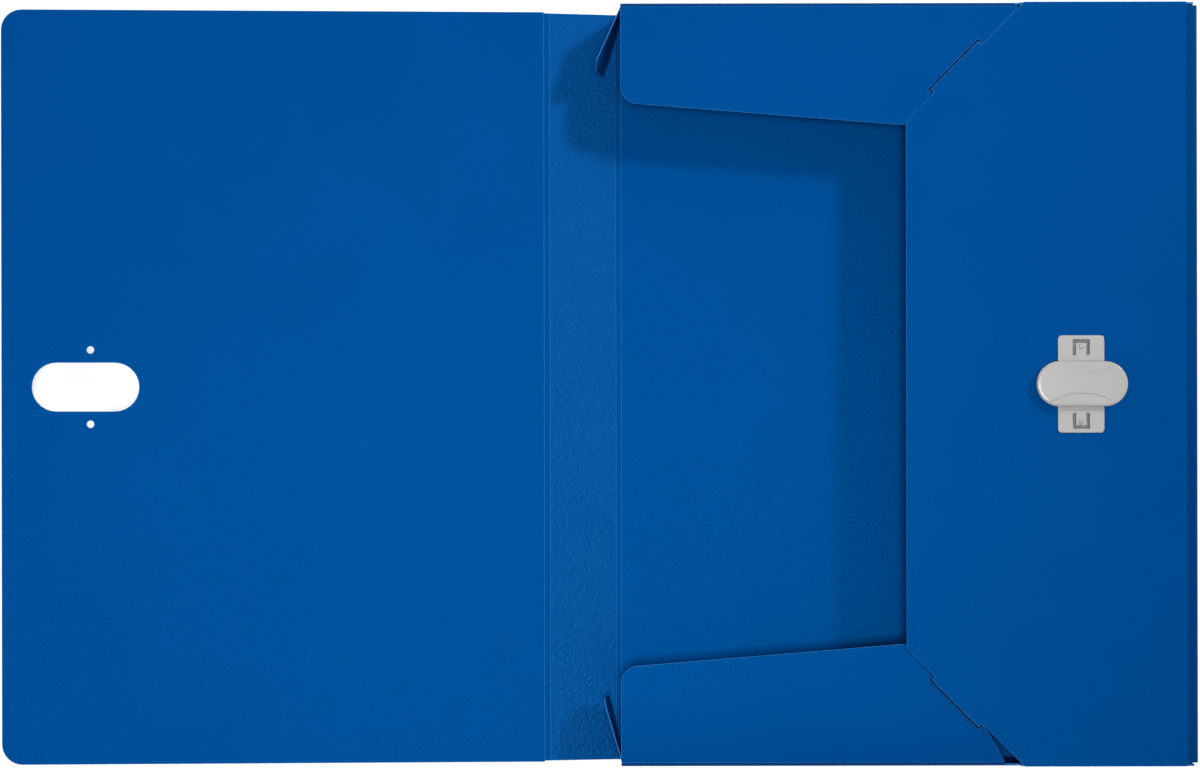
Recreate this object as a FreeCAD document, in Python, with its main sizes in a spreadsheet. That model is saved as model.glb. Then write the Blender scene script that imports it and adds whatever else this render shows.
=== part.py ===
import FreeCAD, Part
import math
import os
import Sketcher

# Archival document box, lying open: one creased plastic sheet and a turn-button clasp.
# Millimetres. X runs from the cover to the fore edge, Y from tail to head, Z up.

V = FreeCAD.Vector
X_AXIS, Y_AXIS, Z_AXIS = V(1, 0, 0), V(0, 1, 0), V(0, 0, 1)

# The driving dimensions.
SIZES = {
    # sheet
    "sheet_thickness": 1.0,
    "web_thickness": 0.6,
    "crease_land": 1.1,
    "lip_start": 0.6,
    "lip_root": 1.6,
    # tray, measured between crease axes
    "tray_run": 249.4,
    "wall_line": 164.5,
    "fore_wall_rise": 29.8,
    "side_wall_rise": 28.6,
    "side_wall_top": 28.9,
    "side_wall_end": 248.4,
    "fore_wall_half": 163.5,
    "crease_inset": 1.6,
    # spine and cover
    "spine_width": 32.0,
    "spine_half": 164.5,
    "cover_length": 238.2,
    "cover_half": 165.0,
    "cover_corner": 9.0,
    "spine_slope": 9.7,
    "cover_slope": 2.4,
    # flaps
    "flap_half": 165.0,
    "flap_reach": 125.4,
    "mitre_start": 74.4,
    "mitre_half": 113.6,
    "side_flap_start": 0.8,
    "side_flap_depth": 42.6,
    "side_flap_inner": 52.2,
    "side_flap_tip": 123.45,
    "side_flap_end": 171.85,
    "side_flap_corner": 7.5,
    # corner lock of the mitred flaps
    "lock_along": 31.9,
    "lock_length": 29.2,
    "lock_reach": 2.6,
    "lock_root": 1.5,
    "lock_thickness": 0.8,
    "lock_tip_drop": 2.2,
    "lock_lean": 14.0,
    "slit_length": 31.6,
    "slit_width": 1.95,
    "slit_offset": 2.75,
    # spine-end ears
    "ear_line": 1.6,
    "ear_length": 30.0,
    "ear_foot": 1.5,
    "ear_far_foot": 7.6,
    "ear_head": 27.1,
    "ear_far_head": 22.6,
    "ear_chamfer": 4.0,
    "head_ear_splay": 21.0,
    "tail_ear_splay": 11.0,
    # clasp
    "clasp_from_spine": 199.3,
    "plate_width": 20.0,
    "plate_length": 42.0,
    "plate_thickness": 0.9,
    "plate_corner": 1.6,
    "rear_width": 18.3,
    "rear_length": 40.4,
    "rear_thickness": 1.0,
    "button_length": 39.3,
    "button_width": 19.5,
    "button_thickness": 2.0,
    "button_lift": 1.6,
    "button_edge": 0.8,
    "grip_radius": 21.7,
    "grip_waist": 4.9,
    "grip_depth": 0.5,
    "spindle_radius": 4.0,
    "boss_radius": 6.0,
    "boss_gap": 0.3,
    "collar_radius": 5.2,
    "collar_height": 0.6,
    "collar_gap": 0.2,
    "running_gap": 0.1,
    "peg_radius": 1.2,
    "peg_offset": 8.5,
    # spring tongues of the clasp plate
    "nib_offset": 16.25,
    "nib_radius": 0.95,
    "nib_tip_radius": 0.7,
    "nib_height": 1.1,
    "window_width": 7.1,
    "window_start": 12.5,
    "window_length": 6.7,
    "tongue_width": 4.9,
    "tongue_root_gap": 0.3,
    "tongue_length": 5.3,
    "tongue_thickness": 0.5,
    # holes of the cover
    "slot_from_crease": 201.7,
    "slot_length": 46.6,
    "slot_width": 21.3,
    "nib_hole_from_crease": 199.6,
    "nib_hole_radius": 1.6,
}

doc = FreeCAD.newDocument("archival_box")
sheet = doc.addObject("Spreadsheet::Sheet", "sizes")
for row, (alias, number) in enumerate(SIZES.items(), start=1):
    sheet.set(f"A{row}", alias)
    sheet.set(f"B{row}", str(number))
    sheet.setAlias(f"B{row}", alias)
doc.recompute()


def amount(text):
    """The number that a sum of named sizes comes to."""
    total, sign = 0.0, 1
    for token in text.split():
        if token in "+-":
            sign = 1 if token == "+" else -1
        else:
            total += sign * (SIZES[token] if token in SIZES else float(token))
            sign = 1
    return total


def formula(text):
    """The same sum as a spreadsheet expression."""
    words = [f"sizes.{t}" if t in SIZES else t for t in text.split()]
    joined = " ".join(words)
    return "0 " + joined if words[0] == "-" else joined


def bind(obj, **properties):
    for name, text in properties.items():
        obj.setExpression(name, formula(text))


def box(name, length, width, height, placement):
    b = doc.addObject("Part::Box", name)
    bind(b, Length=length, Width=width, Height=height)
    b.Placement = placement
    return b


def cylinder(name, radius, height, placement):
    c = doc.addObject("Part::Cylinder", name)
    bind(c, Radius=radius, Height=height)
    c.Placement = placement
    return c


def at(x=0.0, y=0.0, z=0.0, rotation=None):
    return FreeCAD.Placement(V(x, y, z), rotation or FreeCAD.Rotation())


def fuse(name, shapes):
    f = doc.addObject("Part::MultiFuse", name)
    f.Shapes = shapes
    return f


def cut(name, base, tool):
    c = doc.addObject("Part::Cut", name)
    c.Base = base
    c.Tool = tool
    return c


def outline(body, name, points):
    """A closed sketch on the body's XY plane; each corner is tied to the named sizes."""
    plane = next(f for f in body.Origin.OriginFeatures if f.Role == "XY_Plane")
    sketch = body.newObject("Sketcher::SketchObject", name)
    sketch.AttachmentSupport = [(plane, "")]
    sketch.MapMode = "FlatFace"
    corners = [V(amount(x), amount(y), 0) for x, y in points]
    for i, corner in enumerate(corners):
        following = corners[(i + 1) % len(corners)]
        sketch.addGeometry(Part.LineSegment(corner, following), False)
    for i in range(len(points)):
        following = (i + 1) % len(points)
        sketch.addConstraint(Sketcher.Constraint("Coincident", i, 2, following, 1))
    for i, (x, y) in enumerate(points):
        for kind, text in (("DistanceX", x), ("DistanceY", y)):
            constraint = Sketcher.Constraint(kind, -1, 1, i, 1, amount(text))
            index = sketch.addConstraint(constraint)
            sketch.setExpression(f"Constraints[{index}]", formula(text))
    return sketch


def pad(body, name, points, thickness):
    """A slab of the given thickness, centred on the body's XY plane."""
    p = body.newObject("PartDesign::Pad", name)
    p.Profile = outline(body, name + "_outline", points)
    p.Midplane = True
    bind(p, Length=thickness)
    body.Tip = p
    return p


def rectangle(x_low, x_high, y_low, y_high):
    return [(x_low, y_low), (x_high, y_low), (x_high, y_high), (x_low, y_high)]


def upright_edges(shape, corners):
    """Names of the edges that stand on these corners of a slab."""
    found = []
    for x, y in corners:
        for i, edge in enumerate(shape.Edges, start=1):
            ends = [v.Point for v in edge.Vertexes]
            if len(ends) == 2 and all(math.hypot(p.x - x, p.y - y) < 0.01 for p in ends):
                found.append(f"Edge{i}")
    return found


def rounded(body, name, corners, radius):
    """Rounds the slab's named corners."""
    doc.recompute()
    slab = body.Tip
    f = body.newObject("PartDesign::Fillet", name)
    f.Base = (slab, upright_edges(slab.Shape, corners))
    bind(f, Radius=radius)
    body.Tip = f
    return f


def panel(name, points, lips):
    """A panel of the sheet, with a thin lip along each crease that it hangs from."""
    body = doc.addObject("PartDesign::Body", name + "_body")
    pad(body, name + "_slab", points, "sheet_thickness")
    for i, lip in enumerate(lips):
        pad(body, f"{name}_lip_{i}", lip, "web_thickness")
    return body


def web(name, low, high):
    """A living hinge: a strip along local Y that ends in a round bead on the crease axis."""
    half = amount("web_thickness") / 2
    span = f"{formula(high)} - ({formula(low)})"
    strip = box(name + "_strip", "crease_land", "1", "web_thickness",
                at(-amount("crease_land"), amount(low), -half))
    strip.setExpression("Width", span)
    bead = doc.addObject("Part::Cylinder", name + "_bead")
    bead.setExpression("Radius", "sizes.web_thickness / 2")
    bead.setExpression("Height", span)
    bead.Placement = at(0, amount(low), 0, FreeCAD.Rotation(X_AXIS, -90))
    return fuse(name + "_web", [strip, bead])


nodes = {}


def node(name, obj, placement):
    """Names a finished piece and puts it in its place."""
    obj.Placement = placement
    obj.Label = name
    nodes[name] = obj


def turned(*turns):
    """The turns, given as (axis, degrees), put together; the last one comes first."""
    whole = FreeCAD.Rotation()
    for axis, angle in turns:
        whole = whole * FreeCAD.Rotation(axis, angle)
    return whole


def facing(x_dir, y_dir):
    """The rotation that points local X and Y along these directions."""
    return FreeCAD.Rotation(x_dir, y_dir, x_dir.cross(y_dir), "ZXY")


# Where things are: the origin is under the middle of the open box's overall length.
half_sheet = amount("sheet_thickness") / 2
spine_slope = math.radians(amount("spine_slope"))
cover_slope = math.radians(amount("cover_slope"))
left = (amount("spine_width") * math.cos(spine_slope)
        + amount("cover_length") * math.cos(cover_slope)
        + half_sheet * math.sin(cover_slope))
right = amount("tray_run") + half_sheet
base_x = (left - right) / 2
fore_x = base_x + amount("tray_run")
cover_x = base_x - amount("spine_width") * math.cos(spine_slope)
cover_z = half_sheet + amount("spine_width") * math.sin(spine_slope)
fore_flap_z = half_sheet + amount("fore_wall_rise")
side_flap_z = half_sheet + amount("side_wall_rise")
clasp_x = base_x + amount("clasp_from_spine")
flap_top = fore_flap_z + half_sheet
flap_under = fore_flap_z - half_sheet
plate_top = flap_top + amount("plate_thickness")

# Back panel, the root of the sheet.
back = panel(
    "back_panel",
    rectangle("crease_land", "tray_run - crease_land",
              "- wall_line + crease_land", "wall_line - crease_land"),
    [],
)
node("back_panel", back, at(base_x, 0, half_sheet))

# Spine panel.
spine_tilt = turned((Y_AXIS, amount("spine_slope")), (Z_AXIS, 180))
spine = panel(
    "spine_panel",
    rectangle("crease_land", "spine_width - crease_land", "- spine_half", "spine_half"),
    [rectangle("lip_start", "lip_root", "- spine_half", "spine_half")],
)
node("spine_panel", spine, at(base_x, 0, half_sheet, spine_tilt))

# Cover panel, with the slot for the turn-button and the two nib holes.
cover = panel(
    "cover_panel",
    rectangle("crease_land", "cover_length", "- cover_half", "cover_half"),
    [rectangle("lip_start", "lip_root", "- spine_half", "spine_half")],
)
rounded(
    cover, "cover_corners",
    [(amount("cover_length"), side * amount("cover_half")) for side in (-1, 1)],
    "cover_corner",
)
slot_radius = amount("slot_width") / 2
slot_half = amount("slot_length") / 2 - slot_radius
slot_tools = [
    box("slot_middle", "slot_length - slot_width", "slot_width", "10",
        at(amount("slot_from_crease") - slot_half, -slot_radius, -5)),
]
for i, side in enumerate((-1, 1)):
    end = doc.addObject("Part::Cylinder", f"slot_end_{i}")
    end.setExpression("Radius", "sizes.slot_width / 2")
    end.Height = 10
    end.Placement = at(amount("slot_from_crease") + side * slot_half, 0, -5)
    slot_tools.append(end)
    slot_tools.append(cylinder(f"nib_hole_{i}", "nib_hole_radius", "10",
                               at(amount("nib_hole_from_crease"), side * amount("nib_offset"), -5)))
cover_holes = fuse("cover_holes", slot_tools)
cover_tilt = turned((Y_AXIS, amount("cover_slope")), (Z_AXIS, 180))
node("cover_panel", cut("cover_cut", cover, cover_holes), at(cover_x, 0, cover_z, cover_tilt))

# Fore-edge wall.
upright = FreeCAD.Rotation(Y_AXIS, -90)
fore_wall = panel(
    "fore_edge_wall",
    rectangle("crease_land", "fore_wall_rise - crease_land",
              "- fore_wall_half", "fore_wall_half"),
    [rectangle("lip_start", "lip_root", "- fore_wall_half", "fore_wall_half")],
)
node("fore_edge_wall", fore_wall, at(fore_x, 0, half_sheet, upright))

# Fore-edge flap: mitred, pierced for the clasp, and with a lock tongue on each mitre.
fore_flap = panel(
    "fore_edge_flap",
    [
        ("crease_land", "- flap_half"),
        ("mitre_start", "- flap_half"),
        ("flap_reach", "- mitre_half"),
        ("flap_reach", "mitre_half"),
        ("mitre_start", "flap_half"),
        ("crease_land", "flap_half"),
    ],
    [rectangle("lip_start", "lip_root", "- fore_wall_half", "fore_wall_half")],
)
mitre = V(amount("mitre_start - flap_reach"), amount("mitre_half - flap_half"), 0)
mitre.normalize()


def lock_frame(side, offset):
    """The middle of a lock, in the fore flap's plane: X along the mitre, Y towards the side flap."""
    along = V(mitre.x, side * -mitre.y, 0)
    across = V(-mitre.y, side * -mitre.x, 0)
    corner = V(amount("flap_reach"), side * amount("mitre_half"), 0)
    middle = corner + along * amount("lock_along") + across * offset
    return middle, along * -side, across


lock_parts = []
for side in (-1, 1):
    middle, x_dir, y_dir = lock_frame(side, 0)
    frame = FreeCAD.Placement(middle, FreeCAD.Rotation(x_dir, y_dir, Z_AXIS, "ZXY"))
    shelf_low = amount("sheet_thickness") / 2 - amount("lock_thickness")
    shelf = box(
        f"lock_shelf_{side + 1}", "lock_length", "lock_root + lock_reach + 0.2", "lock_thickness",
        frame * at(-amount("lock_length") / 2, -amount("lock_root"), shelf_low),
    )
    lean = at(0, amount("lock_reach"), 0, FreeCAD.Rotation(X_AXIS, amount("lock_lean")))
    tip_low = -amount("lock_tip_drop") / math.cos(math.radians(amount("lock_lean")))
    tip = box(
        f"lock_tip_{side + 1}", "lock_length", "web_thickness", "lock_tip_drop + 0.3",
        frame * lean * at(-amount("lock_length") / 2, -amount("web_thickness") / 2, tip_low),
    )
    lock_parts += [shelf, tip]
fore_flap_sheet = fuse("fore_flap_sheet", [fore_flap] + lock_parts)
clasp_in_flap = amount("tray_run - clasp_from_spine")
flap_tools = [
    cylinder("flap_spindle_hole", "spindle_radius + running_gap", "4", at(clasp_in_flap, 0, -2))
]
for i, side in enumerate((-1, 1)):
    flap_tools.append(cylinder(f"flap_peg_hole_{i}", "peg_radius + running_gap", "4",
                               at(clasp_in_flap, side * amount("peg_offset"), -2)))
for i, low in enumerate((amount("window_start"), -amount("window_start + window_length"))):
    flap_tools.append(box(f"flap_window_{i}", "window_width", "window_length", "4",
                          at(clasp_in_flap - amount("window_width") / 2, low, -2)))
flap_holes = fuse("flap_holes", flap_tools)
half_turn = FreeCAD.Rotation(Z_AXIS, 180)
node("fore_edge_flap", cut("fore_flap_cut", fore_flap_sheet, flap_holes),
     at(fore_x, 0, fore_flap_z, half_turn))

# Head and tail: wall, flap and ear are the same shapes, placed as mirror images.
SIDES = {
    "head": (1, FreeCAD.Rotation(X_AXIS, 180), "head_ear_splay"),
    "tail": (-1, FreeCAD.Rotation(), "tail_ear_splay"),
}
for name, (side, flap_turn, splay) in SIDES.items():
    line_y = side * amount("wall_line")
    wall = panel(
        f"{name}_wall",
        [
            ("ear_line + crease_land", "crease_land"),
            ("side_wall_end", "crease_land"),
            ("side_wall_end", "side_wall_top"),
            ("side_flap_end + crease_inset", "side_wall_top"),
            ("side_flap_end + crease_inset", "side_wall_rise - crease_land"),
            ("ear_line + crease_land", "side_wall_rise - crease_land"),
        ],
        [rectangle("ear_line + crease_land + lip_start", "side_wall_end - lip_start",
                   "lip_start", "lip_root")],
    )
    node(f"{name}_wall", wall, at(base_x, line_y, half_sheet, FreeCAD.Rotation(X_AXIS, 90)))

    flap = panel(
        f"{name}_flap",
        [
            ("side_flap_start", "crease_land"),
            ("side_flap_end", "crease_land"),
            ("side_flap_tip", "side_flap_inner"),
            ("side_flap_start", "side_flap_depth"),
        ],
        [rectangle("ear_line + crease_land", "side_flap_end - lip_root", "lip_start", "lip_root")],
    )
    rounded(flap, f"{name}_flap_corner",
            [(amount("side_flap_start"), amount("side_flap_depth"))], "side_flap_corner")
    middle, x_dir, y_dir = lock_frame(-1, amount("slit_offset"))
    slit_at = V(amount("tray_run") - middle.x, amount("wall_line") + middle.y, 0)
    slit_along = V(-x_dir.x, x_dir.y, 0)
    slit_turn = math.degrees(math.atan2(slit_along.y, slit_along.x))
    slit = box(f"{name}_slit", "slit_length", "slit_width", "4",
               at(slit_at.x, slit_at.y, 0, FreeCAD.Rotation(Z_AXIS, slit_turn))
               * at(-amount("slit_length") / 2, -amount("slit_width") / 2, -2))
    node(f"{name}_flap", cut(f"{name}_flap_cut", flap, slit),
         at(base_x, line_y, side_flap_z, flap_turn))

    ear = panel(
        f"{name}_spine_ear",
        [
            ("crease_land", "ear_foot"),
            ("ear_length", "ear_far_foot"),
            ("ear_length", "ear_far_head"),
            ("ear_length - ear_chamfer", "ear_head"),
            ("crease_land", "ear_head"),
        ],
        [rectangle("lip_start", "lip_root", "ear_foot + 0.4", "ear_head")],
    )
    swing = -side * (90 + amount(splay))
    node(f"{name}_spine_ear", ear,
         at(base_x + amount("ear_line"), line_y, half_sheet,
            turned((Z_AXIS, swing), (X_AXIS, 90))))

# Living-hinge webs. Each one rides on the panel nearer to the back panel.
node("spine_base_crease", web("spine_base", "- spine_half", "spine_half"),
     at(base_x, 0, half_sheet, half_turn))
node("cover_crease", web("cover", "- spine_half", "spine_half"),
     at(cover_x, 0, cover_z, spine_tilt))
node("fore_wall_crease", web("fore_wall", "- fore_wall_half", "fore_wall_half"),
     at(fore_x, 0, half_sheet))
node("fore_flap_crease", web("fore_flap", "- fore_wall_half", "fore_wall_half"),
     at(fore_x, 0, fore_flap_z, upright))
for name, (side, flap_turn, splay) in SIDES.items():
    line_y = side * amount("wall_line")
    node(f"{name}_wall_crease",
         web(f"{name}_wall_foot", "ear_line + crease_land", "side_wall_end - crease_inset"),
         at(base_x, line_y, half_sheet, facing(Y_AXIS * side, X_AXIS)))
    node(f"{name}_flap_crease",
         web(f"{name}_flap_edge", "ear_line + crease_land", "side_flap_end - lip_root"),
         at(base_x, line_y, side_flap_z, facing(Z_AXIS, X_AXIS)))
    node(f"{name}_ear_crease",
         web(f"{name}_ear_edge", "ear_foot + 0.4", "ear_head"),
         at(base_x + amount("ear_line"), line_y, half_sheet, facing(X_AXIS * -1, Z_AXIS)))

# Clasp: front plate, rear plate, turn-button and the two spring tongues with their nibs.


def rounded_slab(name, width, length, thickness, placement):
    slab = box(name + "_slab", width, length, thickness, placement)
    doc.recompute()
    x, y = slab.Placement.Base.x, slab.Placement.Base.y
    corners = [(x + i * amount(width), y + j * amount(length)) for i in (0, 1) for j in (0, 1)]
    radius = amount("plate_corner")
    edges = [int(e[4:]) for e in upright_edges(slab.Shape, corners)]
    f = doc.addObject("Part::Fillet", name + "_rounded")
    f.Base = slab
    f.Edges = [(e, radius, radius) for e in edges]
    return f


plate_slab = rounded_slab("clasp_plate", "plate_width", "plate_length", "plate_thickness",
                          at(-amount("plate_width") / 2, -amount("plate_length") / 2, 0))
pegs = [cylinder(f"plate_peg_{i}", "peg_radius", "sheet_thickness + rear_thickness + 0.2",
                 at(0, side * amount("peg_offset"), -amount("sheet_thickness + rear_thickness")))
        for i, side in enumerate((-1, 1))]
plate_tools = [cylinder("plate_spindle_hole", "spindle_radius + running_gap", "4", at(0, 0, -2))]
for i, low in enumerate((amount("window_start"), -amount("window_start + window_length"))):
    plate_tools.append(box(f"plate_window_{i}", "window_width", "window_length", "4",
                           at(-amount("window_width") / 2, low, -2)))
plate_holes = fuse("plate_holes", plate_tools)
plate_whole = fuse("plate_whole", [plate_slab] + pegs)
node("clasp_plate", cut("clasp_plate_cut", plate_whole, plate_holes), at(clasp_x, 0, flap_top))

rear_slab = rounded_slab("clasp_rear", "rear_width", "rear_length", "rear_thickness",
                         at(-amount("rear_width") / 2, -amount("rear_length") / 2, 0))
rear_tools = [cylinder("rear_spindle_hole", "spindle_radius + running_gap", "4", at(0, 0, -1))]
for i, side in enumerate((-1, 1)):
    rear_tools.append(cylinder(f"rear_peg_hole_{i}", "peg_radius + running_gap", "4",
                               at(0, side * amount("peg_offset"), -1)))
rear_holes = fuse("rear_holes", rear_tools)
node("clasp_rear_plate", cut("clasp_rear_cut", rear_slab, rear_holes),
     at(clasp_x, 0, flap_under - amount("rear_thickness")))

# The button's own zero height is its underside.
button_radius = amount("button_width") / 2
button_half = amount("button_length") / 2 - button_radius
button_parts = [
    box("button_middle", "button_length - button_width", "button_width", "button_thickness",
        at(-button_half, -button_radius, 0)),
]
for i, side in enumerate((-1, 1)):
    end = doc.addObject("Part::Cylinder", f"button_end_{i}")
    end.setExpression("Radius", "sizes.button_width / 2")
    bind(end, Height="button_thickness")
    end.Placement = at(side * button_half, 0, 0)
    button_parts.append(end)
button_slab = fuse("button_slab", button_parts)
button_slab.Refine = True
doc.recompute()
top_edges = []
for i, edge in enumerate(button_slab.Shape.Edges, start=1):
    if all(abs(v.Point.z - amount("button_thickness")) < 0.01 for v in edge.Vertexes):
        top_edges.append((i, amount("button_edge"), amount("button_edge")))
button_soft = doc.addObject("Part::Fillet", "button_rounded")
button_soft.Base = button_slab
button_soft.Edges = top_edges
grips = [cylinder(f"grip_{i}", "grip_radius", "4",
                  at(0, side * amount("grip_waist + grip_radius"),
                     amount("button_thickness - grip_depth")))
         for i, side in enumerate((-1, 1))]
button_top = cut("button_top", button_soft, fuse("button_grips", grips))
under_button = amount("plate_thickness + sheet_thickness + rear_thickness + button_lift")
spindle = cylinder("button_spindle", "spindle_radius",
                   "button_lift + plate_thickness + sheet_thickness + rear_thickness"
                   " + collar_gap + 0.6",
                   at(0, 0, -under_button - amount("collar_gap")))
boss = cylinder("button_boss", "boss_radius", "button_lift - boss_gap + 0.5",
                at(0, 0, -amount("button_lift - boss_gap")))
collar = cylinder("button_collar", "collar_radius", "collar_height",
                  at(0, 0, -under_button - amount("collar_gap + collar_height")))
node("clasp_button", fuse("clasp_button_whole", [button_top, spindle, boss, collar]),
     at(clasp_x, 0, plate_top + amount("button_lift")))

for name, (side, flap_turn, splay) in SIDES.items():
    leaf_low = -amount("tongue_thickness")
    leaf = box(f"{name}_leaf", "tongue_width", "tongue_length", "tongue_thickness",
               at(-amount("tongue_width") / 2, amount("tongue_root_gap"), leaf_low))
    nib = doc.addObject("Part::Cone", f"{name}_nib")
    nib.setExpression("Radius1", "sizes.nib_radius")
    nib.setExpression("Radius2", "sizes.nib_tip_radius")
    nib.setExpression("Height", "sizes.nib_height + 0.2")
    nib.Placement = at(0, amount("nib_offset - window_start"), -0.2)
    node(f"{name}_latch_tongue", fuse(f"{name}_tongue_whole", [leaf, nib]),
         at(clasp_x, side * amount("window_start"), plate_top,
            FreeCAD.Rotation(Z_AXIS, 90 - side * 90)))

doc.recompute()
for obj in doc.Objects:
    bad = [s for s in obj.State if s in ("Invalid", "Error")]
    if bad:
        raise RuntimeError(f"{obj.Name}: {bad}")
os.makedirs("parts", exist_ok=True)
for name, obj in nodes.items():
    shape = obj.Shape
    if shape.isNull() or not shape.isValid() or len(shape.Solids) != 1:
        raise RuntimeError(f"{name}: {len(shape.Solids)} solids")
    shape.exportStep(f"parts/{name}.step")
    b = shape.BoundBox
    print(f"{name}: {b.XMin:.2f} {b.XMax:.2f}  {b.YMin:.2f} {b.YMax:.2f}  {b.ZMin:.2f} {b.ZMax:.2f}")
print(len(nodes), "nodes; base crease at x", round(base_x, 4))
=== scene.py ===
import math

import bmesh
import bpy
from mathutils import Matrix, Vector
from mathutils.geometry import delaunay_2d_cdt


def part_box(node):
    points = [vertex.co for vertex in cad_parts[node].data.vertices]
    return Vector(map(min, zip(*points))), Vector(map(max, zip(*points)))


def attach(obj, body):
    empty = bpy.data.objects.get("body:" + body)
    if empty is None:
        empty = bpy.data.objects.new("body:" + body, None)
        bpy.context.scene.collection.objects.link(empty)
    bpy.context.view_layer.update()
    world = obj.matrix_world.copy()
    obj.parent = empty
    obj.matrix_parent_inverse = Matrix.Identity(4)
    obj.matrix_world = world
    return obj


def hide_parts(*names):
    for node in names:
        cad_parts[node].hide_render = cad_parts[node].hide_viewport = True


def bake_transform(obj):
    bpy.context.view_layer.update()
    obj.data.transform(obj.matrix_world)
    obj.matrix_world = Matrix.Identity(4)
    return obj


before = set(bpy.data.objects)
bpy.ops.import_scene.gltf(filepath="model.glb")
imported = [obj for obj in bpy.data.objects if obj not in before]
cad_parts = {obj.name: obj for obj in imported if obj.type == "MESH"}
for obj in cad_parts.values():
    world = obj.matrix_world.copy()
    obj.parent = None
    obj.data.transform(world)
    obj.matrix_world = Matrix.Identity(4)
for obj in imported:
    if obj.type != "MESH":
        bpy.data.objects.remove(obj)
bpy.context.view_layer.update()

MM = 0.001

# ---------------------------------------------------------------- sizes, in mm, as in the CAD
T = 1.0                       # thickness of the sheet
HALF = T / 2
LAND = 1.1                    # from a crease's axis to where the flat panel starts
RUN = 249.4                   # tray, from the spine crease to the fore-edge crease
WALL = 164.5                  # from the middle to the head and tail creases
EDGE = 165.0                  # from the middle to the ends of the cover and the fore-edge flap
FORE_HALF = 163.5             # from the middle to the ends of the fore-edge wall
SPINE, COVER = 32.0, 238.2
SPINE_SLOPE, COVER_SLOPE = math.radians(9.7), math.radians(2.4)
FORE_RISE, SIDE_RISE = 29.8, 28.6
REACH = 125.4                 # fore-edge flap, from its crease to its free edge
MITRE_START, MITRE_HALF = 74.4, 113.6
CLASP_FROM_SPINE = 199.3
BASE_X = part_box("fore_edge_wall")[1].x / MM - RUN - T / 2
FORE_X = BASE_X + RUN
COVER_X = BASE_X - SPINE * math.cos(SPINE_SLOPE)
COVER_Z = HALF + SPINE * math.sin(SPINE_SLOPE)
CLASP_X = BASE_X + CLASP_FROM_SPINE
# Each end of the tray: its sign along Y, its name, and how far its ear stands open, in degrees.
ENDS = ((1, "head", 21.0), (-1, "tail", 11.0))
EAR_FROM_SPINE = 1.6          # from the spine crease to the ears' own creases
# The tail flap rolls down towards its fold, so that its fold lies this much lower than the head's.
TAIL_ROLL = 2.0

# ---------------------------------------------------------------- frames of the panels
X, Y, Z = Vector((1, 0, 0)), Vector((0, 1, 0)), Vector((0, 0, 1))
SPINE_DIR = Vector((-math.cos(SPINE_SLOPE), 0, math.sin(SPINE_SLOPE)))
COVER_DIR = Vector((-math.cos(COVER_SLOPE), 0, math.sin(COVER_SLOPE)))


def frame_of(origin, x_dir, y_dir):
    """Matrix of a local frame, in mm: origin, and the directions of local X and Y."""
    x, y = Vector(x_dir).normalized(), Vector(y_dir).normalized()
    z = x.cross(y)
    m = Matrix((x, y, z)).transposed().to_4x4()
    m.translation = Vector(origin)
    return m


F_BACK = frame_of((BASE_X, 0, HALF), X, Y)
F_SPINE = frame_of((BASE_X, 0, HALF), SPINE_DIR, -Y)
F_COVER = frame_of((COVER_X, 0, COVER_Z), COVER_DIR, -Y)
F_FORE_WALL = frame_of((FORE_X, 0, HALF), Z, Y)
F_FORE_FLAP = frame_of((FORE_X, 0, HALF + FORE_RISE), -X, -Y)
F_CLASP = Matrix.Translation((CLASP_X, 0, 0))


def foot(side):
    """Where an end wall's crease meets the spine crease."""
    return Vector((BASE_X, side * WALL, HALF))


def wall_frame(side):
    return frame_of(foot(side), X, Z)


def flap_frame(side):
    return frame_of(foot(side) + Z * SIDE_RISE, X, -Y * side)


def ear_dir(side, splay):
    """The way an ear points from its crease, seen from above."""
    a = math.radians(splay)
    return Vector((-math.sin(a), -side * math.cos(a), 0))


def ear_frame(side, splay):
    return frame_of(foot(side) + X * EAR_FROM_SPINE, ear_dir(side, splay), Z)


# ---------------------------------------------------------------- mesh helpers
def rounded_corners(points, radii, steps=8):
    """A polygon with its corners rounded to the given radii (0 keeps a corner sharp)."""
    out = []
    count = len(points)
    for i, (x, y) in enumerate(points):
        r = radii[i]
        p = Vector((x, y))
        if r <= 0:
            out.append(p)
            continue
        a = (Vector(points[i - 1]) - p).normalized()
        b = (Vector(points[(i + 1) % count]) - p).normalized()
        half = a.angle(b) / 2
        reach = r / math.tan(half)
        centre = p + (a + b).normalized() * (r / math.sin(half))
        start, end = p + a * reach - centre, p + b * reach - centre
        turn = start.angle_signed(end)
        for k in range(steps + 1):
            v = start.copy()
            v.rotate(Matrix.Rotation(-turn * k / steps, 2))
            out.append(centre + v)
    return out


def resampled(points, step):
    """The closed outline with no edge longer than step."""
    out = []
    for i, p in enumerate(points):
        q = points[(i + 1) % len(points)]
        n = max(1, math.ceil((q - p).length / step))
        out += [p.lerp(q, k / n) for k in range(n)]
    return out


def stadium(cx, cy, length, width, steps=14):
    """A counter-clockwise oval with straight sides, long along x."""
    r, half = width / 2, (length - width) / 2
    pts = []
    for side, start in ((1, -90), (-1, 90)):
        for k in range(steps + 1):
            a = math.radians(start + 180 * k / steps)
            pts.append(Vector((cx + side * half + r * math.cos(a), cy + r * math.sin(a))))
    return pts


def circle(cx, cy, r, steps=20):
    return [Vector((cx + r * math.cos(2 * math.pi * k / steps),
                    cy + r * math.sin(2 * math.pi * k / steps))) for k in range(steps)]


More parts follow.
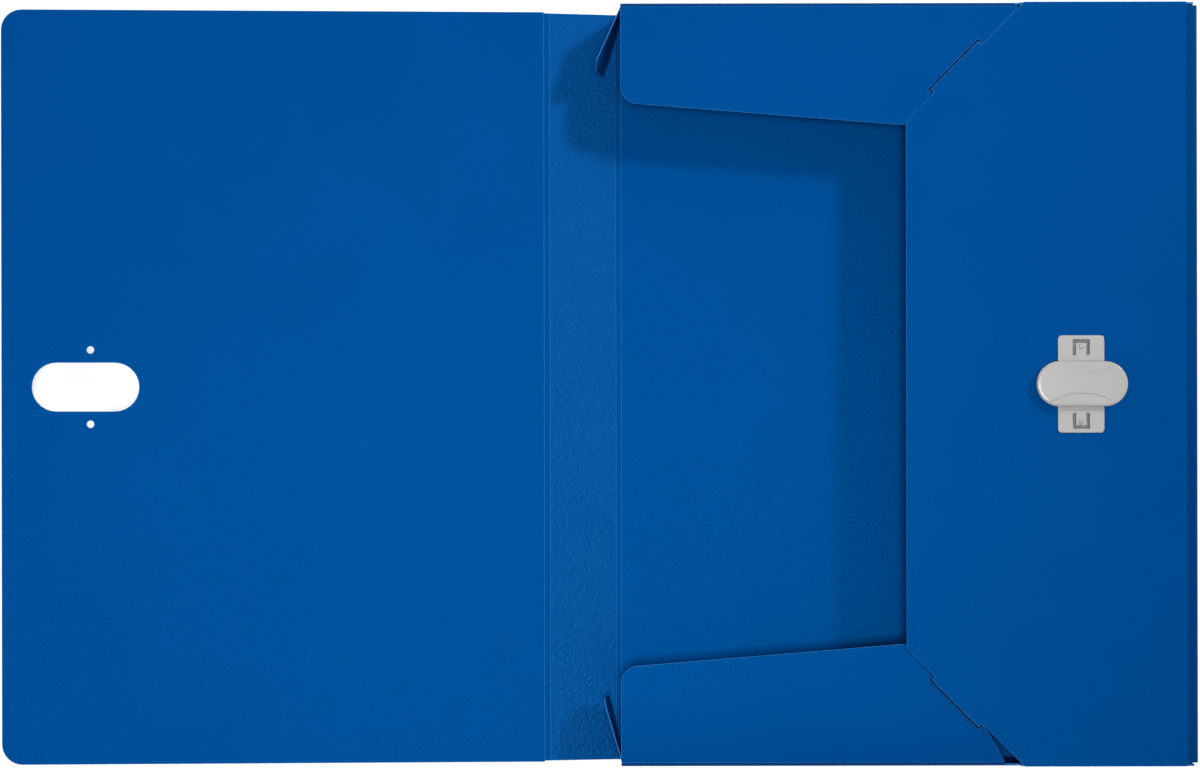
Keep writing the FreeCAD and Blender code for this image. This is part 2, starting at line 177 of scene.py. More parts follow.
def inset(points, d):
    """Outline moved inwards by d (outwards where d is negative), for a counter-clockwise loop."""
    out = []
    n = len(points)
    for i, p in enumerate(points):
        a = (p - points[i - 1]).normalized()
        b = (points[(i + 1) % n] - p).normalized()
        na, nb = Vector((-a.y, a.x)), Vector((-b.y, b.x))
        m = na + nb
        m = m.normalized() if m.length > 1e-6 else na
        out.append(p + m * (d / max(0.35, m.dot(na))))
    return out


def area(points):
    """Area of a closed loop, negative where it runs clockwise."""
    return sum(p.x * points[(i + 1) % len(points)].y - p.y * points[(i + 1) % len(points)].x
               for i, p in enumerate(points)) / 2


def inside(p, loop):
    hit = False
    for i, a in enumerate(loop):
        b = loop[i - 1]
        if (a.y > p.y) != (b.y > p.y) and p.x < (b.x - a.x) * (p.y - a.y) / (b.y - a.y) + a.x:
            hit = not hit
    return hit


def filled(loops, grid):
    """Points and triangles that fill the first loop but not the others, on an even grid."""
    flat, edges = [], []
    for pts in loops:
        base = len(flat)
        flat += pts
        edges += [(base + i, base + (i + 1) % len(pts)) for i in range(len(pts))]
    lo = Vector((min(p.x for p in loops[0]), min(p.y for p in loops[0])))
    hi = Vector((max(p.x for p in loops[0]), max(p.y for p in loops[0])))
    nx, ny = max(1, round((hi.x - lo.x) / grid)), max(1, round((hi.y - lo.y) / grid))
    for i in range(1, nx):
        for j in range(1, ny):
            flat.append(Vector((lo.x + (hi.x - lo.x) * i / nx, lo.y + (hi.y - lo.y) * j / ny)))
    verts, _, faces, _, _, _ = delaunay_2d_cdt(flat, edges, [], 1, 1e-4)
    kept = []
    for f in faces:
        mid = sum((verts[i] for i in f), Vector((0, 0))) / len(f)
        if inside(mid, loops[0]) and not any(inside(mid, hole) for hole in loops[1:]):
            kept.append(f)
    return verts, kept


def sheet_panel(name, outline, holes, place, thickness=T, edge=0.22, grid=9.0, lift=None):
    """A panel of sheet: a grid inside its outline, with softly rounded cut edges. lift bends it."""
    loops = []
    for k, loop in enumerate([outline] + holes):
        pts = [Vector(p) for p in loop]
        if (area(pts) < 0) == (k == 0):
            pts.reverse()
        loops.append(pts)
    half = thickness / 2
    rim = [(edge * 0.3, half - edge * 0.3), (0.0, half - edge)]
    rim += [(off, -z) for off, z in reversed(rim)]
    inner = [inset(pts, edge) for pts in loops]
    verts, faces = filled(inner, grid)
    bm = bmesh.new()
    top = [bm.verts.new((v.x, v.y, half)) for v in verts]
    bottom = [bm.verts.new((v.x, v.y, -half)) for v in verts]
    for f in faces:
        bm.faces.new([top[i] for i in f])
        bm.faces.new([bottom[i] for i in reversed(f)])
    border = {v for e in bm.edges if e.is_boundary for v in e.verts}
    at = {(round(v.co.x, 3), round(v.co.y, 3), v.co.z > 0): v for v in border}
    for pts, ins in zip(loops, inner):
        columns = []
        for p, q in zip(pts, ins):
            d = (q - p) / edge
            x, y = round(q.x, 3), round(q.y, 3)
            middle = [bm.verts.new((p.x + d.x * off, p.y + d.y * off, z)) for off, z in rim]
            columns.append([at[x, y, True]] + middle + [at[x, y, False]])
        for i, a in enumerate(columns):
            b = columns[(i + 1) % len(columns)]
            for k in range(len(a) - 1):
                # The rim faces take the second material: the lighter edge blue, partly a painted highlight.
                bm.faces.new((a[k], a[k + 1], b[k + 1], b[k])).material_index = 1
    loose = [v for v in bm.verts if not v.link_faces]
    bmesh.ops.delete(bm, geom=loose, context="VERTS")
    bmesh.ops.recalc_face_normals(bm, faces=bm.faces)
    if lift:
        for v in bm.verts:
            v.co.z += lift(v.co.x, v.co.y)
    return piece(name, bm, place, sharp=20)


def piece(name, bm, place, sharp=38):
    """Turns a bmesh in mm, in a local frame, into an object in metres in the row frame. Edges
    that turn by more than sharp degrees stay crisp."""
    bm.transform(Matrix.Diagonal((MM, MM, MM, 1)) @ place)
    mesh = bpy.data.meshes.new(name)
    bm.to_mesh(mesh)
    bm.free()
    for poly in mesh.polygons:
        poly.use_smooth = True
    mesh.set_sharp_from_angle(angle=math.radians(sharp))
    obj = bpy.data.objects.new(name, mesh)
    bpy.context.scene.collection.objects.link(obj)
    return obj


def crease(name, axis_at, along, span, parent_dir, child_dir, outer=0.3, inner=0.3,
           child_land=LAND):
    """The sheet where it bends: a thin band from one panel to the next, that bends as they fold.
    It runs a little way into both. outer and inner are half thicknesses, on the outside and inside
    of the bend."""
    a, p, c = Vector(axis_at), Vector(parent_dir).normalized(), Vector(child_dir).normalized()
    axis = Vector(along).normalized()
    steps, cells, lap = 12, 60, 0.3
    straight = 0.05
    bm = bmesh.new()
    loops = []
    start, end = a + p * (LAND + lap), a + c * (child_land + lap)
    bend = (start - a) + (end - a)
    mids = []
    for k in range(steps + 1):
        s = k / steps
        mid = start * (1 - s) ** 2 + a * 2 * s * (1 - s) + end * s ** 2
        tangent = ((a - start) * (1 - s) + (end - a) * s).normalized()
        normal = tangent.cross(axis)
        outwards = -normal.dot(bend) if bend.length > straight else normal.z
        if outwards < 0:
            normal = -normal
        mids.append((mid, normal))
    for m in range(cells + 1):
        shift = axis * (span[0] + (span[1] - span[0]) * m / cells)
        ring = [bm.verts.new(mid + n * outer + shift) for mid, n in mids]
        ring += [bm.verts.new(mid - n * inner + shift) for mid, n in reversed(mids)]
        loops.append(ring)
    for m in range(cells):
        r, q = loops[m], loops[m + 1]
        for k in range(len(r)):
            j = (k + 1) % len(r)
            bm.faces.new((r[k], r[j], q[j], q[k]))
    bm.faces.new(loops[0])
    bm.faces.new(list(reversed(loops[-1])))
    bmesh.ops.recalc_face_normals(bm, faces=bm.faces)
    obj = piece(name, bm, Matrix.Identity(4))
    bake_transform(obj)
    return obj


# ---------------------------------------------------------------- materials
class Nodes:
    """A material whose nodes are added by kind, with linked or plain inputs."""

    def __init__(self, name):
        self.material = bpy.data.materials.new(name)
        self.material.use_nodes = True
        self.tree = self.material.node_tree
        self.shader = self.tree.nodes["Principled BSDF"]

    def add(self, kind, inputs=None, **settings):
        n = self.tree.nodes.new(kind)
        for key, value in settings.items():
            setattr(n, key, value)
        for key, value in (inputs or {}).items():
            if isinstance(value, bpy.types.NodeSocket):
                self.tree.links.new(value, n.inputs[key])
            else:
                n.inputs[key].default_value = value
        return n

    def link(self, a, b):
        self.tree.links.new(a, b)


CLOUDS_PER_METRE = 22.0
PLASTIC_IOR = 1.49


def grained_plastic(name, colour, dark, grain, depth, roughness, specular, tint=(1, 1, 1, 1)):
    """Plastic with an embossed grain and a faint cloudiness in colour and gloss. colour and dark
    are the two ends of the cloudiness, grain counts per metre, and depth is in metres."""
    m = Nodes(name)
    where = m.add("ShaderNodeTexCoord").outputs["Object"]
    cloud = m.add("ShaderNodeTexNoise", {"Vector": where, "Scale": CLOUDS_PER_METRE, "Detail": 3.0})
    fine = m.add("ShaderNodeTexNoise", {"Vector": where, "Scale": grain, "Detail": 2.0,
                                        "Roughness": 0.55})
    pits = m.add("ShaderNodeTexVoronoi", {"Vector": where, "Scale": grain * 0.8,
                                          "Randomness": 1.0}, feature="SMOOTH_F1")
    spread = m.add("ShaderNodeMapRange", {"Value": cloud.outputs["Fac"], "From Min": 0.3,
                                          "From Max": 0.7})
    mix = m.add("ShaderNodeMix", {"Factor": spread.outputs["Result"]}, data_type="RGBA")
    for socket, value in (("A", dark), ("B", colour)):
        [s for s in mix.inputs if s.name == socket and s.type == "RGBA"][0].default_value = value
    body = [s for s in mix.outputs if s.type == "RGBA"][0]
    m.link(body, m.shader.inputs["Base Color"])
    m.shader.inputs["Specular Tint"].default_value = tint
    gloss = m.add("ShaderNodeMapRange", {"Value": fine.outputs["Fac"], "From Min": 0.3,
                                         "From Max": 0.7, "To Min": roughness - 0.05,
                                         "To Max": roughness + 0.07})
    m.link(gloss.outputs["Result"], m.shader.inputs["Roughness"])
    relief = m.add("ShaderNodeMath", {0: fine.outputs["Fac"], 1: pits.outputs["Distance"]},
                   operation="ADD")
    bump = m.add("ShaderNodeBump", {"Height": relief.outputs[0], "Distance": depth,
                                    "Strength": 1.0})
    m.link(bump.outputs["Normal"], m.shader.inputs["Normal"])
    m.shader.inputs["Specular IOR Level"].default_value = specular
    m.shader.inputs["IOR"].default_value = PLASTIC_IOR
    return m.material


# The sheet's gloss is tinted blue, which keeps its colour deep under the lamps.
SHEEN = (0.0, 0.36, 1.0, 1)
BLUE = grained_plastic("blue_sheet", (0.0002, 0.0645, 0.280, 1), (0.0001, 0.0605, 0.267, 1),
                       1500.0, 0.00006, 0.42, 0.34, tint=SHEEN)
# The spine's blue is a lighter copy of the sheet's blue: painted sheen where the spine tilts towards the lamps.
# Its deeper grain is a bump.
SPINE_LIT_BLUE = grained_plastic("blue_spine_painted_sheen", (0.0010, 0.0740, 0.300, 1), (0.0005, 0.0690, 0.288, 1),
                             1000.0, 0.00016, 0.36, 0.45, tint=(0.03, 0.45, 1.0, 1))
# A darker copy of the sheet's blue for the round folds at the tops of the walls: painted shade where these
# folds turn away from the lamps.
FOLD_SHADE_BLUE = grained_plastic("blue_fold_painted_shade", (0.0002, 0.0480, 0.205, 1), (0.0001, 0.0450, 0.195, 1),
                            1500.0, 0.00006, 0.5, 0.25, tint=SHEEN)
# The cut edges and the creases' shoulders get a lighter blue. This is partly the sheet's own whitened cut edge
# and partly a painted highlight where these edges catch the lamps.
CUT_EDGE_AND_HIGHLIGHT = grained_plastic("blue_cut_edge_and_highlight", (0.03, 0.19, 0.52, 1), (0.02, 0.16, 0.46, 1),
                           900.0, 0.00003, 0.45, 0.3, tint=SHEEN)
GREY = grained_plastic("clasp_grey", (0.515, 0.51, 0.50, 1), (0.49, 0.485, 0.475, 1),
                       2600.0, 0.00001, 0.22, 0.5)
# The rear plate is a darker grey than the front plate: painted shade for the dim floors of the tongues'
# windows.
REAR_SHADE_GREY = grained_plastic("clasp_rear_painted_shade", (0.29, 0.285, 0.275, 1), (0.27, 0.265, 0.255, 1),
                            2600.0, 0.00001, 0.45, 0.4)


def finish_piece(obj, body, nodes, material, edge=None):
    """Gives a piece its materials, its body where it isn't blended, and the nodes it replaces."""
    obj.data.materials.append(material)
    if edge:
        obj.data.materials.append(edge)
    if body:
        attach(obj, body)
    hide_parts(*nodes)
    return obj


def blue(obj, body, *nodes, material=BLUE):
    return finish_piece(obj, body, nodes, material, CUT_EDGE_AND_HIGHLIGHT)


def grey(obj, body, *nodes, material=GREY):
    return finish_piece(obj, body, nodes, material)


# ---------------------------------------------------------------- the sheet's panels
def rect(x0, x1, y0, y1):
    return [(x0, y0), (x1, y0), (x1, y1), (x0, y1)]


def soft(points, radii, step=5.0):
    if area([Vector(p) for p in points]) < 0:
        points, radii = points[::-1], radii[::-1]
    return resampled(rounded_corners(points, radii), step)


NIB_AT = 16.25                # from the box's middle line to the clasp's nibs and their holes
SLOT_AT, SLOT_LENGTH, SLOT_WIDTH = 201.7, 46.6, 21.3
NIB_HOLE_AT, NIB_HOLE_RADIUS = 199.6, 1.6

blue(sheet_panel("back_sheet", soft(rect(LAND, RUN - LAND, -WALL + LAND, WALL - LAND), [0.4] * 4),
                 [], F_BACK), "tray_base", "back_panel")
blue(sheet_panel("spine_sheet", soft(rect(LAND, SPINE - LAND, -WALL, WALL), [0.5] * 4), [], F_SPINE,
                 grid=5), "spine", "spine_panel", material=SPINE_LIT_BLUE)
cover_outline = soft(rect(LAND, COVER, -EDGE, EDGE), [0.5, 9.0, 9.0, 0.5])
cover_holes = [stadium(SLOT_AT, 0, SLOT_LENGTH, SLOT_WIDTH)]
cover_holes += [circle(NIB_HOLE_AT, side * NIB_AT, NIB_HOLE_RADIUS) for side in (1, -1)]
blue(sheet_panel("cover_sheet", cover_outline, cover_holes, F_COVER), "cover", "cover_panel")
fore_wall_outline = soft(rect(LAND, FORE_RISE - LAND, -FORE_HALF, FORE_HALF), [0.4] * 4)
blue(sheet_panel("fore_wall_sheet", fore_wall_outline, [], F_FORE_WALL, grid=5),
     "fore_wall", "fore_edge_wall")

FOLD = 4.2                    # the fore-edge flap's fold is round and reaches this far into it
LOCK_MID, LOCK_HALF = 31.9, 14.5      # along the mitre from its corner: the lock's middle and half
SHELF = 2.15                  # how far the lock's shelf stands out of the mitre
CLASP_IN_FLAP = RUN - CLASP_FROM_SPINE    # the spindle, from the fore-edge flap's crease
SPINDLE_HOLE = 4.1            # radius
# The direction of a mitre from its inner corner, along the fore-edge flap's reach and sideways.
MITRE = Vector((MITRE_START - REACH, EDGE - MITRE_HALF)).normalized()


def fore_flap_outline():
    """The fore-edge flap, with a short shelf standing out of each mitre for its lock."""
    across = Vector((MITRE.y, -MITRE.x))
    mid = Vector((REACH, MITRE_HALF)) + MITRE * LOCK_MID
    ends = [mid - MITRE * LOCK_HALF, mid + MITRE * LOCK_HALF]
    upper = [ends[0], ends[0] + across * SHELF + MITRE * 0.4, ends[1] + across * SHELF - MITRE * 0.4,
             ends[1]]
    upper = [(REACH, MITRE_HALF)] + [tuple(p) for p in upper] + [(MITRE_START, EDGE), (FOLD, EDGE)]
    lower = [(x, -y) for x, y in reversed(upper)]
    radii = [0.4, 1.0, 0.5, 0.6, 0.6, 0.5, 1.2]
    return soft(lower + upper, radii + radii[::-1])


def latch_windows():
    """The two openings in the flap that the clasp's tongues flex into."""
    near, far, half = 12.5, 19.2, 3.55
    left, right = CLASP_IN_FLAP - half, CLASP_IN_FLAP + half
    return [rect(left, right, y, y + far - near) for y in (near, -far)]


blue(sheet_panel("fore_flap_sheet", fore_flap_outline(),
                 [circle(CLASP_IN_FLAP, 0, SPINDLE_HOLE)] + latch_windows(), F_FORE_FLAP),
     "fore_flap", "fore_edge_flap")


def rolled(along, out):
    """The tail flap's sheet rolls down towards its fold, over the last stretch before it."""
    return -TAIL_ROLL * max(0.0, 1 - out / 30.0) ** 2


def ear_twist(side):
    """The ear's free end leans: its lower corner stands further into the tray than its upper one."""
    top, lean = (1.9, 4.6) if side > 0 else (3.0, 2.7)

    def lift(along, height):
        return side * min(1.0, along / 30.0) * (top - lean * (27.0 - height) / 20.0)
    return lift


def end_wall(side, roll):
    """An end wall, lower where the flap is creased to it than beyond the flap."""
    near, far, flap_end = 2.7, 248.4, 173.4
    low, high = SIDE_RISE - LAND - roll, 28.9
    points = [(near, LAND), (far, LAND), (far, high), (flap_end, high), (flap_end, low), (near, low)]
    return soft(points, [0.4] * 3 + [0.3] * 2 + [0.4])


def end_flap(side):
    """An end flap, whose mitred edge runs on a little way under the fore-edge flap. The tail one
    is cut back at its fold, which leaves a dark gap beside the fore-edge flap."""
    points = [(0.8, LAND), (0.8, 42.6), (124.3, 52.6)]
    points += [(173.0, LAND)] if side > 0 else [(155.6, 21.0), (166.8, LAND)]
    return soft(points, [0.4, 7.5, 1.2, 0.5, 0.5][:len(points)])


def lock_slit():
    """The slit in an end flap that the fore-edge flap's lock dips into, bent at both ends."""
    d = Vector((-MITRE.x, -MITRE.y))
    n = Vector((d.y, -d.x))
    mid = Vector((RUN - REACH, WALL - MITRE_HALF)) + d * LOCK_MID
    inner, outer = (14.8, 2.25), (15.35, 2.8)
    foot_at = 0.4
    bracket = [(-outer[0], foot_at), (-outer[0], outer[1]), outer, (outer[0], foot_at),
               (inner[0], foot_at), inner, (-inner[0], inner[1]), (-inner[0], foot_at)]
    return [mid + d * x + n * y for x, y in bracket]


def ear_outline(roll):
    points = [(LAND, 1.5), (30, 7.6), (30, 22.6), (26, 27.1 - roll / 2), (LAND, 28.0 - 1.1 * roll)]
    return soft(points, [0.4, 1.5, 1.5, 1.5, 0.4], 3)


for side, word, splay in ENDS:
    roll = 0.0 if side > 0 else TAIL_ROLL
    blue(sheet_panel(f"{word}_wall_sheet", end_wall(side, roll), [], wall_frame(side), grid=5),
         f"{word}_side", f"{word}_wall")
    blue(sheet_panel(f"{word}_flap_sheet", end_flap(side), [lock_slit()], flap_frame(side),
                     lift=rolled if roll else None), f"{word}_top", f"{word}_flap")
    blue(sheet_panel(f"{word}_ear_sheet", ear_outline(roll), [], ear_frame(side, splay),
                     thickness=0.5, edge=0.12, grid=3, lift=ear_twist(side)),
         f"{word}_ear", f"{word}_spine_ear")

# ---------------------------------------------------------------- the creases between them
BEND = 0.46                   # half thickness of the sheet on the outside of an upright fold
BEND_HALF = 163.4
blue(crease("spine_base_bend", (BASE_X, 0, HALF), Y, (-WALL, WALL), X, SPINE_DIR), None, "spine_base_crease")
blue(crease("cover_bend", (COVER_X, 0, COVER_Z), Y, (-WALL, WALL), -SPINE_DIR, COVER_DIR), None, "cover_crease")
blue(crease("fore_wall_bend", (FORE_X, 0, HALF), Y, (-BEND_HALF, BEND_HALF), -X, Z,
            outer=BEND), None, "fore_wall_crease")
# The folds at the tops of the walls take the darker blue, a painted shade.
blue(crease("fore_flap_bend", (FORE_X, 0, HALF + FORE_RISE), Y, (-BEND_HALF, BEND_HALF), -Z, -X,
            outer=0.5, inner=BEND, child_land=FOLD),
     None, "fore_flap_crease", material=FOLD_SHADE_BLUE)
for side, word, splay in ENDS:
    roll, flap_end = (0.0, 171.0) if side > 0 else (TAIL_ROLL, 166.6)
    blue(crease(f"{word}_wall_bend", foot(side), X, (2.8, 246.5), -Y * side, Z,
                outer=BEND), None, f"{word}_wall_crease")
    blue(crease(f"{word}_flap_bend", foot(side) + Z * (SIDE_RISE - roll), X, (0.9, flap_end),
                -Z, -Y * side, outer=BEND),
         None, f"{word}_flap_crease", material=FOLD_SHADE_BLUE)
    blue(crease(f"{word}_ear_bend", foot(side) + X * EAR_FROM_SPINE, Z, (1.7, 26.9 - roll), X,
                ear_dir(side, splay), outer=BEND),
         None, f"{word}_ear_crease")

# ---------------------------------------------------------------- the clasp
FLAP_TOP = HALF + FORE_RISE + HALF
PLATE_TOP = FLAP_TOP + 0.9
BUTTON_FOOT, BUTTON_TOP = PLATE_TOP + 1.6, PLATE_TOP + 3.6
BUTTON_LENGTH, BUTTON_WIDTH = 39.3, 19.5
# Each finger scoop is a circle of GRIP_RADIUS around a centre beside the button.
GRIP_RADIUS, GRIP_CENTRE = 25.0, 29.15
LATCH_ROOT, LATCH_END = 12.5, 17.7
SPINDLE_BORE = 4.3            # radius, in both plates
PEG_AT = 8.5                  # from the spindle to the pegs that join the plates


def turned(bm, profile, at=(0, 0), steps=40):
    """Adds a turned form, closed at both ends, to a bmesh. profile is (radius, height) points."""
    rings = []
    for r, z in profile:
        if r < 1e-6:
            rings.append([bm.verts.new((at[0], at[1], z))])
        else:
            rings.append([bm.verts.new((p.x, p.y, z)) for p in circle(at[0], at[1], r, steps)])
    for a, b in zip(rings, rings[1:]):
        for k in range(steps):
            j = (k + 1) % steps
            corners = [a[k % len(a)], a[j % len(a)], b[j % len(b)], b[k % len(b)]]
            bm.faces.new([v for i, v in enumerate(corners) if v not in corners[:i]])
    for ring in (rings[0], rings[-1]):
        if len(ring) > 1:
            bm.faces.new(ring)


def joined(obj, bm, place):
    """Adds more geometry, in the same local frame, to a piece."""
    bmesh.ops.recalc_face_normals(bm, faces=bm.faces)
    other = piece("more", bm, place)
    with bpy.context.temp_override(active_object=obj, selected_editable_objects=[obj, other]):
        bpy.ops.object.join()
    return obj


def clasp_plate():
    """The front plate, with a window around each tongue, and the two pegs behind it."""
    windows = [rounded_corners([(x, side * y) for x, y in
                                ((-3.6, LATCH_ROOT), (3.6, LATCH_ROOT), (3.6, 19.25), (-3.6, 19.25))],
                               [0.5, 0.5, 0.3, 0.3], 4) for side in (1, -1)]
    outline = soft(rect(-10, 10, -21, 21), [1.7] * 4, 2.0)
    obj = sheet_panel("clasp_front_plate", outline, [circle(0, 0, SPINDLE_BORE)] + windows,
                      F_CLASP @ Matrix.Translation((0, 0, PLATE_TOP - 0.45)), 0.9, 0.25, 2.0)
    pegs = bmesh.new()
    for side in (1, -1):
        turned(pegs, [(1.05, FLAP_TOP - 2.0), (1.2, FLAP_TOP - 1.8), (1.2, FLAP_TOP + 0.2)],
               (0, side * PEG_AT), 24)
    return joined(obj, pegs, F_CLASP)


def clasp_rear_plate():
    """The plate under the flap that the front plate's pegs and the spindle go through."""
    outline = soft(rect(-9.15, 9.15, -20.2, 20.2), [1.6] * 4, 2.0)
    holes = [circle(0, 0, SPINDLE_BORE)] + [circle(0, y, 1.25) for y in (PEG_AT, -PEG_AT)]
    return sheet_panel("clasp_back_plate", outline, holes,
                       F_CLASP @ Matrix.Translation((0, 0, FLAP_TOP - 1.5)), 1.0, 0.25, 2.5)


def latch(side):
    """A sprung tongue cut in the plate, with the domed nib that clicks into the cover."""
    word = "head" if side > 0 else "tail"
    half, root = 2.25, LATCH_ROOT - 0.4
    points = [(-half, root), (half, root), (half, LATCH_END), (-half, LATCH_END)]
    outline = soft([(x, side * y) for x, y in points], [0.0, 0.0, 0.35, 0.35], 1.0)
    obj = sheet_panel(f"{word}_latch", outline, [],
                      F_CLASP @ Matrix.Translation((0, 0, PLATE_TOP - 0.24)), 0.5, 0.1, 1.0)
    dome = [(1.12 * math.cos(a), PLATE_TOP + 0.95 * math.sin(a)) for a in
            [math.radians(t) for t in (0, 15, 32, 50, 68, 90)]]
    nib = bmesh.new()
    turned(nib, [(1.3, PLATE_TOP - 0.1), (1.25, PLATE_TOP)] + dome, (0, side * NIB_AT), 28)
    return joined(obj, nib, F_CLASP)


def grip(x, y):
    """How far the button's face lies below its top: two finger scoops beside a waisted ridge."""
    low = 0.18 * (x / (BUTTON_LENGTH / 2)) ** 2
    for side in (1, -1):
        d = GRIP_RADIUS - math.hypot(x, y - side * GRIP_CENTRE)
        low += 0.26 * math.exp(-(d / 0.2) ** 2)
        if d > 0:
            low += 0.07 * d + 0.12 * min(1.0, d / 0.3)
    return low


def button():
    """The turn button: a flat oval with a rounded rim, on its spindle."""
    outline = resampled(stadium(0, 0, BUTTON_LENGTH, BUTTON_WIDTH, 22), 0.8)
    levels = [(1.4, 0.0), (0.5, 0.0), (0.2, 0.1), (0.0, 0.4), (0.0, 1.1), (0.08, 1.42), (0.28, 1.72),
              (0.55, 1.9), (0.9, 2.0)]
    bm = bmesh.new()
    rings = []
    for d, h in levels:
        rings.append([bm.verts.new((p.x, p.y, BUTTON_FOOT + h)) for p in inset(outline, d)])
    for a, b in zip(rings, rings[1:]):
        for k in range(len(a)):
            j = (k + 1) % len(a)
            bm.faces.new((a[k], a[j], b[j], b[k]))
    bm.faces.new(rings[0])
    rim = [Vector((v.co.x, v.co.y)) for v in rings[-1]]
    flat = list(rim)
    edges = [(k, (k + 1) % len(rim)) for k in range(len(rim))]
    arc_step, cell_x, cell_y = 0.55, 0.74, 0.72
    half_x, half_y = BUTTON_LENGTH / 2, BUTTON_WIDTH / 2

    def well_inside(x, y, margin):
        return math.hypot(max(0.0, abs(x) - half_x + half_y), y) < half_y - margin

    # Points close together across the rim of each scoop, and an even grid elsewhere.
    for side in (1, -1):
        for d in (-0.34, -0.17, 0.0, 0.17, 0.34):
            last = None
            for k in range(-60, 61):
                a = k * arc_step / GRIP_RADIUS
                r = GRIP_RADIUS - d
                p = Vector((r * math.sin(a), side * (GRIP_CENTRE - r * math.cos(a))))
                if not well_inside(p.x, p.y, 1.3):
                    last = None
                    continue
                flat.append(p)
                if last is not None:
                    edges.append((last, len(flat) - 1))
                last = len(flat) - 1
    for i in range(-26, 27):
        for j in range(-13, 14):
            x, y = i * cell_x + 0.1, j * cell_y
            near = min(abs(GRIP_RADIUS - math.hypot(x, y - s * GRIP_CENTRE)) for s in (1, -1))
            if well_inside(x, y, 1.4) and near > 0.6:
                flat.append(Vector((x, y)))
    verts, _, faces, origins, _, _ = delaunay_2d_cdt(flat, edges, [], 1, 1e-5)
    top = []
    for k, v in enumerate(verts):
        on_rim = [i for i in origins[k] if i < len(rim)]
        top.append(rings[-1][on_rim[0]] if on_rim else bm.verts.new((v.x, v.y, BUTTON_TOP)))
    for f in faces:
        bm.faces.new([top[i] for i in f])
    for v in bm.verts:
        v.co.z -= grip(v.co.x, v.co.y) * min(1.0, max(0.0, (v.co.z - BUTTON_FOOT - 0.6) / 1.2))
    turned(bm, [(5.2, FLAP_TOP - 2.8), (5.2, FLAP_TOP - 2.1), (4.9, FLAP_TOP - 2.05),
                (4.0, FLAP_TOP - 2.0), (4.0, PLATE_TOP + 0.1), (6.0, PLATE_TOP + 0.15),
                (6.0, BUTTON_FOOT + 0.2)])
    bmesh.ops.recalc_face_normals(bm, faces=bm.faces)
    return piece("clasp_turn_button", bm, F_CLASP)


grey(clasp_plate(), "fore_flap", "clasp_plate")
grey(clasp_rear_plate(), "fore_flap", "clasp_rear_plate", material=REAR_SHADE_GREY)
grey(latch(1), "head_latch", "head_latch_tongue")
grey(latch(-1), "tail_latch", "tail_latch_tongue")
grey(button(), "turn_button", "clasp_button")

# ---------------------------------------------------------------- floor, light and camera
HORIZON, ZENITH = 0.34, 0.165
KEY_WATTS, OVERHEAD_WATTS, LEFT_WATTS, HEAD_WATTS = 168.0, 21.5, 9.0, 5.0
LAMP_DISTANCE = 3.0
FLOOR_HALF = 6.0
FLOOR_DROP = 0.0002           # keeps the floor clear of the sheet's underside


def stage_floor():
    """A pale floor that is nearly white by itself and still takes soft shadows."""
    bm = bmesh.new()
    s = FLOOR_HALF
    bm.faces.new([bm.verts.new(p) for p in ((-s, -s, 0), (s, -s, 0), (s, s, 0), (-s, s, 0))])
    mesh = bpy.data.meshes.new("floor")
    bm.to_mesh(mesh)
    bm.free()
    obj = bpy.data.objects.new("floor", mesh)
    bpy.context.scene.collection.objects.link(obj)
    m = Nodes("floor")
    m.shader.inputs["Base Color"].default_value = (0.5, 0.5, 0.5, 1)
    m.shader.inputs["Roughness"].default_value = 0.9
    m.shader.inputs["Emission Color"].default_value = (1, 1, 1, 1)
    m.shader.inputs["Emission Strength"].default_value = 0.7
    mesh.materials.append(m.material)
    obj.location.z = -FLOOR_DROP


def studio_sky():
    """A grey sky, brighter at the horizon than overhead."""
    world = bpy.data.worlds.new("studio")
    world.use_nodes = True
    sky = world.node_tree
    up = sky.nodes.new("ShaderNodeTexCoord")
    height = sky.nodes.new("ShaderNodeSeparateXYZ")
    glow = sky.nodes.new("ShaderNodeMapRange")
    glow.inputs["To Min"].default_value = HORIZON
    glow.inputs["To Max"].default_value = ZENITH
    sky.links.new(up.outputs["Generated"], height.inputs[0])
    sky.links.new(height.outputs["Z"], glow.inputs["Value"])
    sky.links.new(glow.outputs["Result"], sky.nodes["Background"].inputs["Strength"])
    sky.nodes["Background"].inputs["Color"].default_value = (1, 1, 1, 1)
    bpy.context.scene.world = world


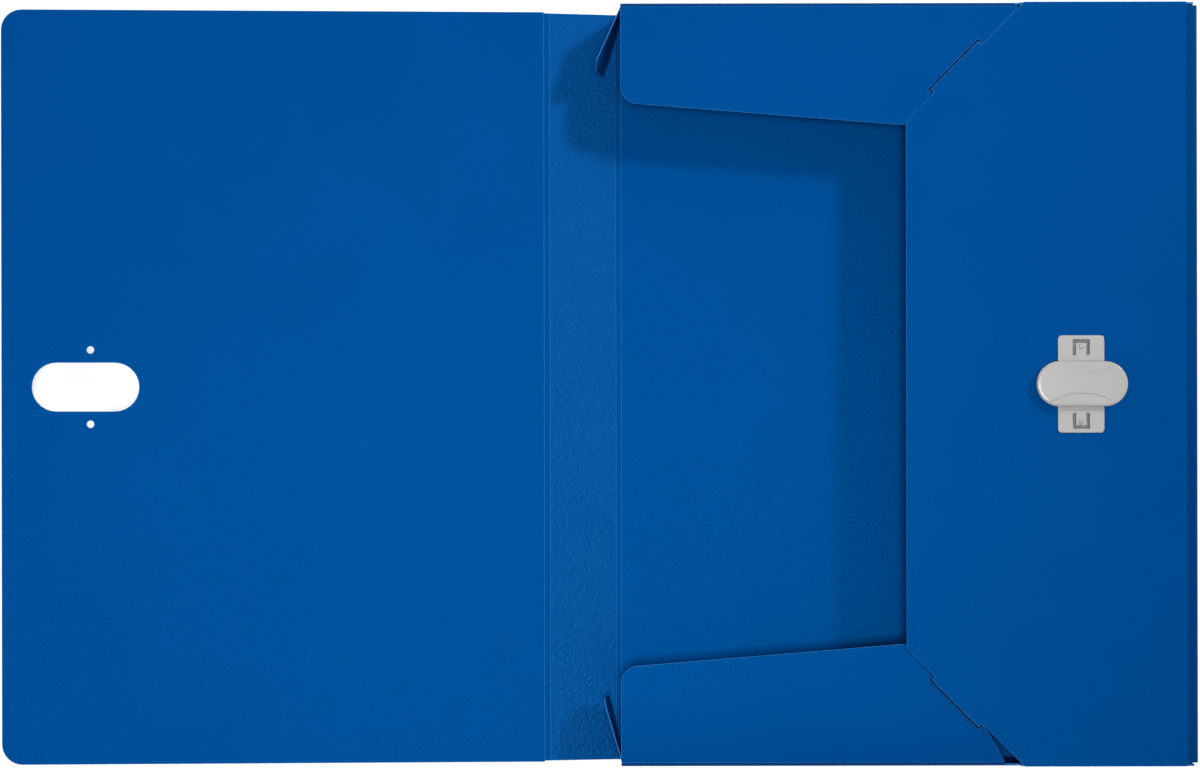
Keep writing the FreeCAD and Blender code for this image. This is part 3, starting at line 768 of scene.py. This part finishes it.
def lamp(name, kind, size, watts, place, direction):
    """A round lamp at a place, shining away from the given direction."""
    data = bpy.data.lights.new(name, kind)
    data.energy = watts
    if kind == "AREA":
        data.shape = "DISK"
        data.size = size
    else:
        data.shadow_soft_size = size / 2
    obj = bpy.data.objects.new(name, data)
    obj.location = place
    obj.rotation_mode = "QUATERNION"
    obj.rotation_quaternion = direction.to_track_quat("Z", "Y")
    bpy.context.scene.collection.objects.link(obj)
    return data


stage_floor()
studio_sky()
# The key stands at the right and the head end, and the soft edge of its beam falls across the
# corner at the right and the tail end. A second lamp hangs over the table and gives the sheen on
# the parts that face it, and weak ones at the left and the head end catch the edges that face them.
key_dir = Vector((0.993, 0.77, 1.0)).normalized()
key_at, key_aim = key_dir * LAMP_DISTANCE, Vector((-0.266, 0.416, 0.0))
key = lamp("key", "SPOT", 0.4, KEY_WATTS, key_at, (key_at - key_aim).normalized())
key.spot_size = math.radians(31.2)
key.spot_blend = 0.54
lamp("overhead", "AREA", 0.5, OVERHEAD_WATTS, (0.0, -0.16, 2.2), Vector((0, 0, 1)))
left_dir = Vector((-0.85, -0.2, 0.5)).normalized()
lamp("left", "AREA", 0.6, LEFT_WATTS, left_dir * LAMP_DISTANCE, left_dir)
head_dir = Vector((0.17, 0.8, 0.57)).normalized()
lamp("head", "AREA", 0.3, HEAD_WATTS, head_dir * LAMP_DISTANCE, head_dir)

# The camera looks straight down on the table. Its axis meets the table nearer to the tail end, and
# its shift, given as a fraction of the frame's width, brings the whole box into the frame. The other
# sizes are in mm.
CAMERA_HEIGHT, FRAME_WIDTH = 1214.0, 531.0
FRAME_MID = Vector((BASE_X - 8.3, 1.45))
SHIFT = Vector((-0.0083, 0.08))
cam = bpy.data.cameras.new("camera")
cam.sensor_width = 36.0
cam.lens = cam.sensor_width * CAMERA_HEIGHT / FRAME_WIDTH
cam.shift_x, cam.shift_y = SHIFT
cam_obj = bpy.data.objects.new("camera", cam)
axis_at = FRAME_MID - SHIFT * FRAME_WIDTH
cam_obj.location = (axis_at.x * MM, axis_at.y * MM, CAMERA_HEIGHT * MM)
cam_obj.rotation_euler = (0, 0, math.radians(-0.1))
bpy.context.scene.collection.objects.link(cam_obj)
bpy.context.scene.camera = cam_obj
bpy.context.scene.view_settings.view_transform = "Standard"
